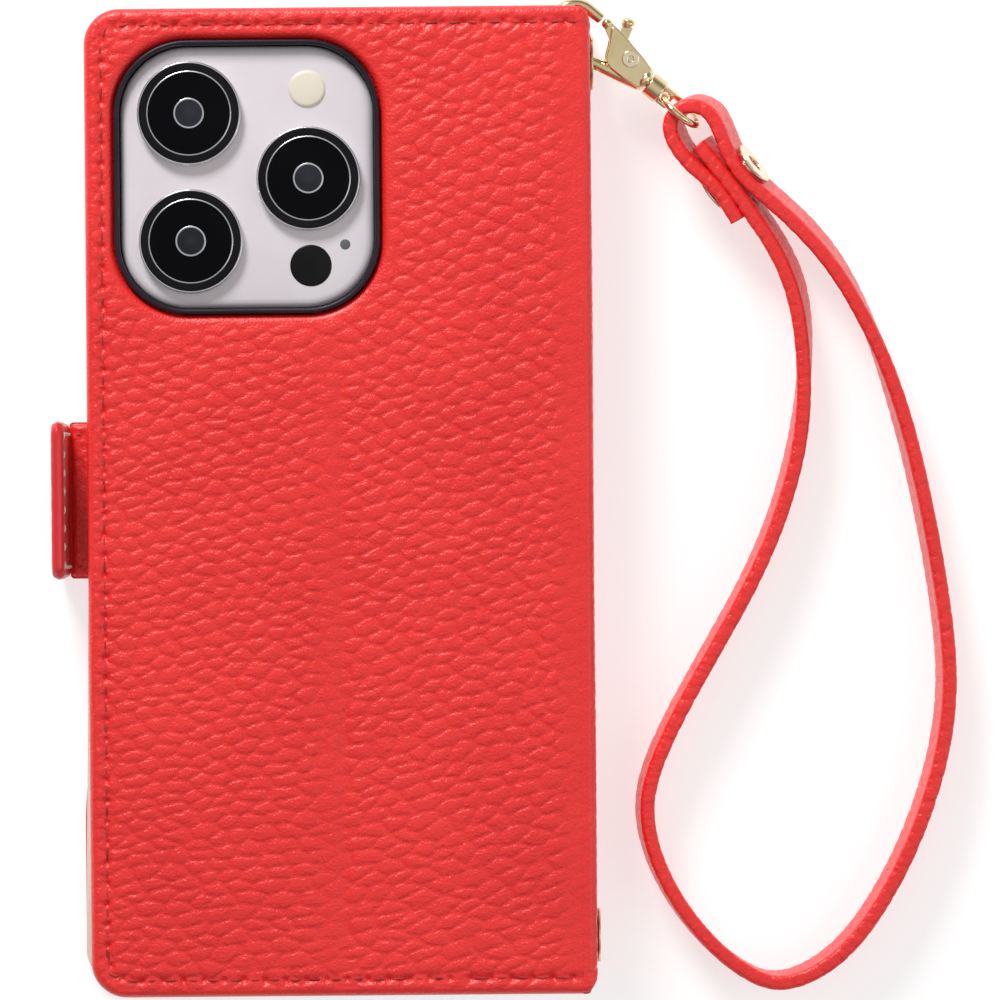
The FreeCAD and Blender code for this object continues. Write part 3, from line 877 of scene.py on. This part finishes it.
# ---------------------------------------------------------------- closing tab
def tab_shell(name, low, high, thick_axis, radius, grain, skin):
    """A padded leather tongue: a rounded rectangle with soft edges, thick along X or Z."""
    flat = [axis for axis in range(3) if axis != thick_axis]
    half = (high[thick_axis] - low[thick_axis]) / 2
    middle = (high[thick_axis] + low[thick_axis]) / 2
    size = (high[flat[0]] - low[flat[0]], high[flat[1]] - low[flat[1]])
    centre = ((high[flat[0]] + low[flat[0]]) / 2, (high[flat[1]] + low[flat[1]]) / 2)
    fine = 0.4
    nx, ny = int(size[0] / fine) + 1, int(size[1] / fine) + 1
    u = np.linspace(-1, 1, nx)
    v = np.linspace(-1, 1, ny)
    uu, vv = np.meshgrid(u, v, indexing="ij")
    x, y = uu * size[0] / 2, vv * size[1] / 2
    corner = (size[0] / 2, size[1] / 2)

    def distance(px, py):
        return round_box_distance(px, py, (-corner[0], -corner[1]), corner, radius, radius)

    x, y = pulled_in(distance, x, y, 2)
    inside = np.maximum(-distance(x, y), 0)
    roll = min(half * 0.9, 0.9)
    base = half - crowned_edge(inside, roll)
    bumps = grain * pebble(x * 1.3 + 7, y * 1.3 + 5) * np.clip((inside - 0.3) / 0.8, 0, 1) - grain
    seam = 0.16 * np.exp(-((inside - 1.9) / 0.35) ** 2)
    top = base + bumps - seam
    groups = []
    for sign in (1, -1):
        block = np.zeros((nx, ny, 3))
        block[:, :, flat[0]] = x + centre[0]
        block[:, :, flat[1]] = y + centre[1]
        block[:, :, thick_axis] = middle + sign * top
        groups.append(block.reshape(-1, 3))
    points = np.concatenate(groups)
    faces, count = [], nx * ny
    for i in range(nx - 1):
        for j in range(ny - 1):
            a, b = i * ny + j, (i + 1) * ny + j
            faces.append([a, b, b + 1, a + 1])
            faces.append([count + a + 1, count + b + 1, count + b, count + a])
    border = [i * ny for i in range(nx)] + [(nx - 1) * ny + j for j in range(1, ny)]
    border += [i * ny + ny - 1 for i in range(nx - 2, -1, -1)] + [j for j in range(ny - 2, 0, -1)]
    for a, b in zip(border, border[1:] + border[:1]):
        faces.append([b, a, count + a, count + b])
    made = mesh_object(name, points, faces, skin)
    work = bmesh.new()
    work.from_mesh(made.data)
    bmesh.ops.remove_doubles(work, verts=work.verts, dist=1e-6)
    bmesh.ops.dissolve_degenerate(work, edges=work.edges, dist=1e-7)
    bmesh.ops.recalc_face_normals(work, faces=work.faces)
    work.to_mesh(made.data)
    work.free()
    return made


def closing_tab():
    inner = TAB_HIGH[0] - 0.35
    flap = tab_shell(
        "tab_flap_skin", (TAB_LOW[0], TAB_LOW[1], TAB_LOW[2]), (inner, TAB_HIGH[1], TAB_HIGH[2]),
        0, 2.2, 0.10, RED_EDGE,
    )
    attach(flap, "tab")
    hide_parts("tab_leather", "tab_lining")
    spots = []
    for side in (TAB_LOW[1] + 1.9, TAB_HIGH[1] - 1.9):
        count = int((TAB_HIGH[2] - TAB_LOW[2] - 3.8) / STITCH_PITCH)
        for k in range(count + 1):
            place = Vector((inner - 0.10, side, TAB_LOW[2] + 2.2 + k * STITCH_PITCH))
            spots.append((place, Vector((0, 0, 1)), Vector((1, 0, 0))))
    end_pitch = 2.85
    count = int((TAB_HIGH[1] - TAB_LOW[1] - 3.8) / end_pitch)
    for k in range(count + 1):
        place = Vector((inner - 0.10, TAB_LOW[1] + 2.2 + k * end_pitch, TAB_HIGH[2] - 1.6))
        spots.append((place, Vector((0, 1, 0)), Vector((1, 0, 0))))
    thread = cloth("cream_thread", CREAM, (0.9, 0.85, 0.75, 1.0))
    sewn = stitches("tab_stitching", spots, thread, length=1.9, radius=0.32)
    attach(sewn, "tab")
    base = tab_shell(
        "tab_base_skin", (inner - 0.10, BASE_LOW[1], BASE_LOW[2]),
        (BASE_HIGH[0] + 1.0, BASE_HIGH[1], BASE_HIGH[2]), 2, 0.6, 0.30, RED_SKIN,
    )
    spots = []
    for side in (BASE_LOW[1] + 1.9, BASE_HIGH[1] - 1.9):
        for k in range(2):
            place = Vector((inner + 1.2 + 2.0 * k, side, BASE_HIGH[2] - 0.25))
            spots.append((place, Vector((1, 0, 0)), Vector((0, 0, 1))))
    seam = stitches("tab_base_stitching", spots, THREAD, length=1.6, radius=0.24)
    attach(seam, "front")
    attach(base, "front")
    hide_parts("tab_base")


# ---------------------------------------------------------------- hardware
CLASP_TURN = Matrix.Rotation(math.radians(-38.7), 4, "Z") @ Matrix.Rotation(math.radians(7.3), 4, "Y")
CLASP_PIVOT = Vector((45.1, 68.3, 7.1))


def tube(shells, spots, around=20):
    """Adds a closed round bar through (u, v, w, radius) spots to a list of shells."""
    places = np.array(spots, float)
    lengths = np.concatenate([[0], np.cumsum(np.linalg.norm(np.diff(places[:, :3], axis=0), axis=1))])
    count = max(int(lengths[-1] / 0.25), 3)
    wanted = np.linspace(0, lengths[-1], count)
    line = np.stack([np.interp(wanted, lengths, places[:, axis]) for axis in range(4)], 1)
    ahead = np.gradient(line[:, :3], axis=0)
    points, faces = [], []
    for spot, way in zip(line, ahead):
        way = Vector(way).normalized()
        first = way.cross(Vector((0, 0, 1)))
        if first.length < 0.1:
            first = way.cross(Vector((0, 1, 0)))
        first.normalize()
        second = way.cross(first)
        for k in range(around):
            angle = 2 * math.pi * k / around
            outward_way = first * math.cos(angle) + second * math.sin(angle)
            points.append(tuple(Vector(spot[:3]) + outward_way * spot[3]))
    for k in range(count - 1):
        faces += band(k * around, (k + 1) * around, around)
    faces.append(list(range(around))[::-1])
    faces.append([(count - 1) * around + n for n in range(around)])
    shells.append((points, faces))


def plate(shells, outline, low, high):
    """Adds a flat plate with an outline of (u, v) corners to a list of shells."""
    count = len(outline)
    points = [(u, v, low) for u, v in outline] + [(u, v, high) for u, v in outline]
    faces = [list(range(count))[::-1], [count + n for n in range(count)]]
    faces += band(0, count, count)
    shells.append((points, faces))


def clasp_mesh(shells):
    """One mesh, in metres in the CAD's frame, of shells given in the clasp's own frame."""
    points, faces = [], []
    for shell_points, shell_faces in shells:
        base = len(points)
        points.extend((CLASP_TURN @ Vector(spot) + CLASP_PIVOT) * MM for spot in shell_points)
        faces.extend([[base + n for n in face] for face in shell_faces])
    mesh = bpy.data.meshes.new("clasp_shells")
    mesh.from_pydata([tuple(spot) for spot in points], [], faces)
    work = bmesh.new()
    work.from_mesh(mesh)
    bmesh.ops.recalc_face_normals(work, faces=work.faces)
    work.to_mesh(mesh)
    work.free()
    return mesh


def hook_mesh():
    shells = []
    bend = [
        (-9.8 + 3.3 * math.cos(math.radians(angle)), -1.2 + 3.3 * math.sin(math.radians(angle)), 0, 0.95)
        for angle in range(-90, -271, -10)
    ]
    tube(shells, [
        (3.6, -2.2, 0, 1.0), (0.8, -2.9, 0, 0.98), (-2.6, -3.6, 0, 0.95), (-5.2, -4.25, 0, 0.95),
        (-7.6, -4.5, 0, 0.95), *bend, (-8.4, 2.1, 0, 0.90), (-7.25, 2.1, 0, 0.84),
    ])
    cheek = [
        (3.8, 0.75), (1.6, 1.40), (-1.4, 1.95), (-3.4, 2.25), (-5.0, 2.40), (-5.3, 2.0), (-4.6, 0.9),
        (-3.9, -0.4), (-3.4, -1.6), (-2.7, -2.6), (-1.6, -3.0), (1.0, -3.0), (3.8, -2.7),
    ]
    plate(shells, cheek, 0.62, 1.45)
    plate(shells, cheek, -1.45, -0.62)
    plate(shells, [(3.8, 0.75), (2.7, 1.05), (2.7, -2.8), (3.8, -2.7)], -1.4, 1.4)
    collar = ((3.3, 1.7), (3.5, 1.9), (4.1, 1.9), (4.3, 1.75))
    tube(shells, [(u, -1.05, 0, radius) for u, radius in collar], 32)
    return clasp_mesh(shells)


def lever_mesh():
    shells = []
    tube(shells, [(-6.9, 2.1, 0, 0.42), (-6.75, 2.1, 0, 0.68), (-6.3, 2.1, 0, 0.86), (-5.85, 2.1, 0, 0.88)])
    web = [
        (-6.2, 2.7), (-6.2, 1.4), (-4.2, 0.3), (-1.0, -0.6), (1.0, -0.3), (1.2, 1.3), (-2.2, 2.3),
    ]
    plate(shells, web, -0.48, 0.48)
    plate(shells, [(-3.7, 1.6), (-1.9, 1.6), (-2.5, 4.0), (-4.1, 4.0)], -0.48, 0.48)
    tube(shells, [(-3.2, 3.8, 0, 0.85), (-3.5, 4.1, 0, 1.15), (-3.8, 4.6, 0, 1.0), (-3.9, 4.9, 0, 0.6)])
    return clasp_mesh(shells)


def cast(node, name, body, skin, voxel=0.11, rounds=3, shape=None):
    """A smoothed casting of a CAD node, or of a shape that stands for it, with its edges softened."""
    source = frame["nodes"][node]
    made = bpy.data.objects.new(name, shape if shape else source.data.copy())
    bpy.context.scene.collection.objects.link(made)
    made.data.materials.clear()
    made.data.materials.append(skin)
    bpy.context.view_layer.objects.active = made
    weld = made.modifiers.new("weld", "WELD")
    weld.merge_threshold = 1e-6
    remesh = made.modifiers.new("remesh", "REMESH")
    remesh.mode = "VOXEL"
    remesh.voxel_size = voxel * MM
    remesh.use_smooth_shade = True
    smooth = made.modifiers.new("smooth", "SMOOTH")
    smooth.factor = 0.5
    smooth.iterations = rounds
    graph = bpy.context.evaluated_depsgraph_get()
    finished = bpy.data.meshes.new_from_object(made.evaluated_get(graph))
    made.modifiers.clear()
    made.data = finished
    made.data.polygons.foreach_set("use_smooth", [True] * len(made.data.polygons))
    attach(made, body)
    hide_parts(node)
    return made


def hardware():
    cast("clasp_hook", "clasp_hook_casting", "clasp", GOLD_METAL, voxel=0.09, rounds=8, shape=hook_mesh())
    cast("gate_lever", "gate_lever_casting", "gate", GOLD_METAL, voxel=0.08, rounds=6, shape=lever_mesh())
    for node, body, skin, rounds in (
        ("gate_pivot", "clasp", GOLD_PALE, 3), ("swivel_eye", "swivel", GOLD_METAL, 14),
        ("swivel_post", "clasp", GOLD_METAL, 3), ("d_ring", "ring", GOLD_METAL, 3),
        ("eyelet_upper", "front", GOLD_METAL, 3), ("eyelet_lower", "front", GOLD_METAL, 3),
    ):
        cast(node, f"{node}_casting", body, skin, rounds=rounds)
    rivet = cast("strap_rivet", "strap_rivet_casting", "ring", GOLD_PALE, voxel=0.13, rounds=4)
    middle = sum((vertex.co for vertex in rivet.data.vertices), Vector()) / len(rivet.data.vertices)
    lean = Matrix.Rotation(-math.atan(RING_SLOPE), 4, Vector((-0.61, 0.79, 0)))
    turned = lean @ Matrix.Scale(1.08, 4)
    rivet.data.transform(Matrix.Translation(middle) @ turned @ Matrix.Translation(-middle))
    return rivet


def plain_nodes():
    """Finishes for the CAD pieces that keep their CAD shape."""
    for node, skin in (
        ("phone_tray", TRAY), ("tray_adhesive", GLUE), ("back_board", BOARD),
        ("front_board", BOARD), ("closing_plate", STEEL), ("tab_magnet", STEEL), ("gate_spring", STEEL),
        ("eyelet_washer_upper", GOLD_METAL), ("eyelet_washer_lower", GOLD_METAL),
        ("back_lining", LINING), ("spine_lining", LINING),
    ):
        piece = frame["nodes"][node]
        piece.data.materials.clear()
        piece.data.materials.append(skin)


# ---------------------------------------------------------------- stage phone
def disc(name, x, y, z, rings, skin, segments=64):
    """A turned piece: rings of (radius, height) from the middle out."""
    points, faces = [(x, y, z + rings[0][1])], []
    for radius, height in rings[1:]:
        for k in range(segments):
            angle = 2 * math.pi * k / segments
            points.append((x + radius * math.cos(angle), y + radius * math.sin(angle), z + height))
    for k in range(segments):
        faces.append([0, 1 + k, 1 + (k + 1) % segments])
    for ring in range(len(rings) - 2):
        a, b = 1 + ring * segments, 1 + (ring + 1) * segments
        for k in range(segments):
            m = (k + 1) % segments
            faces.append([a + k, b + k, b + m, a + m])
    return mesh_object(name, points, faces, skin)


def stage_phone():
    """A plain generic phone in the case, as a prop: it isn't part of the object."""
    body_skin = plastic("prop_body", (0.66, 0.62, 0.65, 1.0), (0.70, 0.66, 0.69, 1.0), 0.32)
    plateau_skin = plastic("prop_plateau", (0.74, 0.68, 0.71, 1.0), (0.78, 0.72, 0.75, 1.0), 0.25)
    black = plastic("prop_black", (0.004, 0.004, 0.005, 1.0), (0.008, 0.008, 0.009, 1.0), 0.30, specular=0.12)
    deep = plastic("prop_deep", (0.001, 0.001, 0.002, 1.0), (0.002, 0.002, 0.003, 1.0), 0.12, specular=0.06)
    eye = plastic("prop_eye", (0.008, 0.010, 0.014, 1.0), (0.020, 0.022, 0.030, 1.0), 0.10, specular=0.35)
    ring_skin = metal("prop_ring", (0.60, 0.58, 0.60, 1.0), (0.70, 0.68, 0.70, 1.0), 0.22)
    # the grey of the microphone material is painted shade: it stands in for the dark inside of the microphone
    # hole
    hole = plastic("prop_painted_microphone_shade", (0.10, 0.10, 0.11, 1.0), (0.14, 0.14, 0.15, 1.0), 0.6, specular=0.1)
    flash = plastic("prop_flash", (0.80, 0.72, 0.58, 1.0), (0.86, 0.80, 0.70, 1.0), 0.35)
    body_low = (TRAY_LOW[0] + 1.7, TRAY_LOW[1] + 1.7, TRAY_LOW[2] + 1.1)
    body_high = (TRAY_HIGH[0] - 1.7, TRAY_HIGH[1] - 1.7, TRAY_HIGH[2] - 1.3)
    props = [slab("prop_phone_body", body_low, body_high, 12.0, body_skin, edge=0.8)]
    cx, cy = (RIM_LOW[0] + RIM_HIGH[0]) / 2, (RIM_LOW[1] + RIM_HIGH[1]) / 2
    base = body_high[2]
    top = TOP - 1.5
    island = ((0.1, base), (0.1, top - 0.9), (0.35, top - 0.45), (0.9, top - 0.12), (1.6, top))
    points, faces = [], []
    low, high, radius = WINDOW
    for reach, z in island:
        inset = RIM_WALL + reach
        ring = rounded_ring(
            (low[0] + inset, low[1] + inset), (high[0] - inset, high[1] - inset), radius - inset)
        points += [(x, y, z) for x, y in ring]
    count = len(ring)
    for ring in range(len(island) - 1):
        faces += band(ring * count, (ring + 1) * count, count)
    faces.append([(len(island) - 1) * count + n for n in range(count)])
    plateau = mesh_object("prop_plateau", points, faces, plateau_skin)
    props.append(plateau)
    for n, (dx, dy) in enumerate(((-8.83, 9.9), (-8.68, -9.75), (9.44, -0.23))):
        x, y = cx + dx, cy + dy
        for part, rings, skin in (
            ("ring", [(0, 1.40), (7.7, 1.40), (7.82, 1.44), (7.96, 1.36), (8.05, 0.0)], ring_skin),
            ("wall", [(0, 1.45), (5.0, 1.45), (6.9, 1.45), (7.3, 1.50), (7.72, 1.42)], black),
            ("edge", [(0, 1.50), (6.3, 1.50), (6.42, 1.53), (6.52, 1.46)], STEEL),
            ("glass", [(0, 1.57), (2.2, 1.57), (4.2, 1.56), (6.34, 1.54)], deep),
            ("collar", [(0, 1.60), (2.1, 1.60), (2.2, 1.63), (2.34, 1.57)], STEEL),
            ("eye", [(0, 2.05), (0.5, 2.01), (1.0, 1.90), (1.5, 1.76), (1.9, 1.64), (2.1, 1.6)], eye),
        ):
            props.append(disc(f"prop_lens_{part}_{n}", x, y, top, rings, skin))
    glass = [(0, 0.30), (2.3, 0.28), (2.75, 0.2), (2.85, 0.0)]
    props.append(disc("prop_flash_glass", cx + 9.3, cy + 13.6, top, glass, flash))
    dome = [(0, 0.12), (2.9, 0.12), (3.15, 0.08), (3.2, 0.0)]
    props.append(disc("prop_sensor", cx + 9.7, cy - 13.6, top, dome, black))
    # the microphone is a raised grey dot, not a hole: its grey is painted shade of the hole
    dot = [(0, 0.05), (0.7, 0.05), (0.8, 0.0)]
    props.append(disc("prop_microphone", cx + 15.0, cy - 10.4, top, dot, hole, 24))
    for prop in props:
        prop.parent = frame["bodies"]["back"]


camera_and_light()
strap, strap_line_points = wrist_strap()
rivet = hardware()
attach(strap, "ring")
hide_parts("wrist_strap")
back_cover()
window_rim()
front_cover()
spine_cover()
closing_tab()
plain_nodes()
stage_phone()
